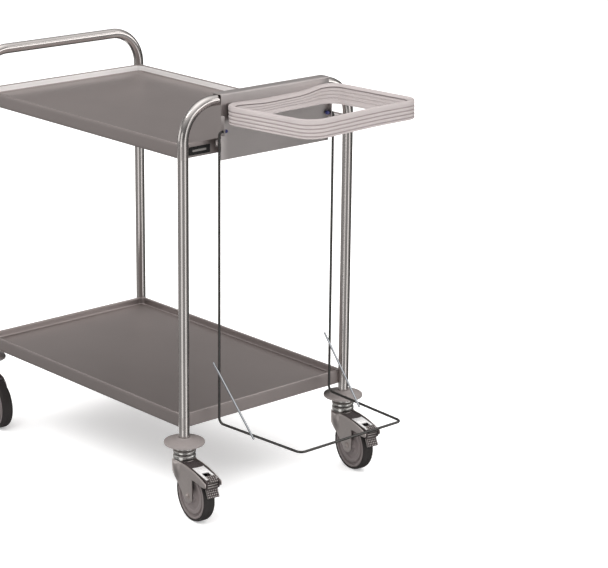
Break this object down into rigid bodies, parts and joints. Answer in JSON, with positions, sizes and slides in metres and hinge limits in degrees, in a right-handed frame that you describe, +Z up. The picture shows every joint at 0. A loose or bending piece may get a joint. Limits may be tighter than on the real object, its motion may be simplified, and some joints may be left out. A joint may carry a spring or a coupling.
{
  "type": "medication cart",
  "caption": "Two-shelf stainless steel ward trolley on swivel casters, with a lift-off waste bag ring and a swinging wire bag support at one end.",
  "frame": {"origin": "on the floor, under the middle of the overall bounding box", "axes": "+X along the trolley towards the bag holder, +Y across to the left, +Z up"},
  "size_m": [1.164, 0.595, 0.9778],
  "materials": {
    "stainless_tube": "satin brushed",
    "shelf_sheet": "fine linished",
    "plate_sheet": "fine linished",
    "badge_plastic": "gloss",
    "bumper_plastic": "moulded",
    "zinc_steel": "zinc plated",
    "bright_zinc": "bright zinc",
    "fork_steel": "satin zinc",
    "wheel_plastic": "moulded",
    "tyre_rubber": "matt",
    "ring_rubber": "soft matt",
    "dark_rubber": "matt",
    "wire_steel": "drawn wire",
    "cap_plastic": "moulded"
  },
  "bodies": {
    "trolley_frame": {"front_frame": "stainless_tube", "rear_frame": "stainless_tube", "upper_shelf": "shelf_sheet", "lower_shelf": "shelf_sheet", "upper_stiffener": "shelf_sheet", "lower_stiffener": "shelf_sheet", "badge": "badge_plastic", "front_right_bumper": "bumper_plastic", "front_right_stem": "zinc_steel", "front_right_swivel_head": "bright_zinc", "front_left_bumper": "bumper_plastic", "front_left_stem": "zinc_steel", "front_left_swivel_head": "bright_zinc", "rear_right_bumper": "bumper_plastic", "rear_right_stem": "zinc_steel", "rear_right_swivel_head": "bright_zinc", "rear_left_bumper": "bumper_plastic", "rear_left_stem": "zinc_steel", "rear_left_swivel_head": "bright_zinc"},
    "front_right_swivel": {"front_right_swivel_balls": "bright_zinc", "front_right_fork": "fork_steel", "front_right_axle": "zinc_steel", "front_right_pedal_pin": "zinc_steel"},
    "front_right_wheel_unit": {"front_right_wheel": "wheel_plastic", "front_right_tyre": "tyre_rubber", "front_right_bearings": "zinc_steel"},
    "front_right_pedal": {"front_right_brake_pedal": "bright_zinc"},
    "front_left_swivel": {"front_left_swivel_balls": "bright_zinc", "front_left_fork": "fork_steel", "front_left_axle": "zinc_steel", "front_left_pedal_pin": "zinc_steel"},
    "front_left_wheel_unit": {"front_left_wheel": "wheel_plastic", "front_left_tyre": "tyre_rubber", "front_left_bearings": "zinc_steel"},
    "front_left_pedal": {"front_left_brake_pedal": "bright_zinc"},
    "rear_right_swivel": {"rear_right_swivel_balls": "bright_zinc", "rear_right_fork": "fork_steel", "rear_right_axle": "zinc_steel"},
    "rear_right_wheel_unit": {"rear_right_wheel": "wheel_plastic", "rear_right_tyre": "tyre_rubber", "rear_right_bearings": "zinc_steel"},
    "rear_left_swivel": {"rear_left_swivel_balls": "bright_zinc", "rear_left_fork": "fork_steel", "rear_left_axle": "zinc_steel"},
    "rear_left_wheel_unit": {"rear_left_wheel": "wheel_plastic", "rear_left_tyre": "tyre_rubber", "rear_left_bearings": "zinc_steel"},
    "bag_holder": {"hook_plate": "plate_sheet", "bag_ring": "ring_rubber", "ring_core": "zinc_steel", "holder_buffers": "dark_rubber", "wire_stops": "dark_rubber"},
    "bag_support": {"support_wire": "wire_steel", "right_brace": "bright_zinc", "left_brace": "bright_zinc", "wire_caps": "cap_plastic"}
  },
  "joints": [
    {"name": "front_right_swivel_turn", "type": "hinge", "parent": "trolley_frame", "child": "front_right_swivel", "pos_m": [0.26548, -0.25, 0.15], "axis": [0, 0, 1], "continuous": true},
    {"name": "front_right_wheel_spin", "type": "hinge", "parent": "front_right_swivel", "child": "front_right_wheel_unit", "pos_m": [0.31499, -0.25696, 0.0625], "axis": [0.1392, 0.9903, 0], "continuous": true},
    {"name": "front_right_brake_press", "type": "hinge", "parent": "front_right_swivel", "child": "front_right_pedal", "pos_m": [0.35955, -0.26322, 0.118], "axis": [0.1392, 0.9903, 0], "range_deg": [0, 10]},
    {"name": "front_left_swivel_turn", "type": "hinge", "parent": "trolley_frame", "child": "front_left_swivel", "pos_m": [0.26548, 0.25, 0.15], "axis": [0, 0, 1], "continuous": true},
    {"name": "front_left_wheel_spin", "type": "hinge", "parent": "front_left_swivel", "child": "front_left_wheel_unit", "pos_m": [0.31499, 0.24304, 0.0625], "axis": [0.1392, 0.9903, 0], "continuous": true},
    {"name": "front_left_brake_press", "type": "hinge", "parent": "front_left_swivel", "child": "front_left_pedal", "pos_m": [0.35955, 0.23678, 0.118], "axis": [0.1392, 0.9903, 0], "range_deg": [0, 10]},
    {"name": "rear_right_swivel_turn", "type": "hinge", "parent": "trolley_frame", "child": "rear_right_swivel", "pos_m": [-0.53452, -0.25, 0.15], "axis": [0, 0, 1], "continuous": true},
    {"name": "rear_right_wheel_spin", "type": "hinge", "parent": "rear_right_swivel", "child": "rear_right_wheel_unit", "pos_m": [-0.48501, -0.25696, 0.0625], "axis": [0.1392, 0.9903, 0], "continuous": true},
    {"name": "rear_left_swivel_turn", "type": "hinge", "parent": "trolley_frame", "child": "rear_left_swivel", "pos_m": [-0.53452, 0.25, 0.15], "axis": [0, 0, 1], "continuous": true},
    {"name": "rear_left_wheel_spin", "type": "hinge", "parent": "rear_left_swivel", "child": "rear_left_wheel_unit", "pos_m": [-0.48501, 0.24304, 0.0625], "axis": [0.1392, 0.9903, 0], "continuous": true},
    {"name": "bag_holder_lift", "type": "slide", "parent": "trolley_frame", "child": "bag_holder", "axis": [0, 0, 1], "range_m": [0, 0.04]},
    {"name": "bag_support_swing", "type": "hinge", "parent": "bag_holder", "child": "bag_support", "pos_m": [0.28558, 0.011, 0.894], "axis": [0, -1, 0], "range_deg": [0, 90]}
  ]
}
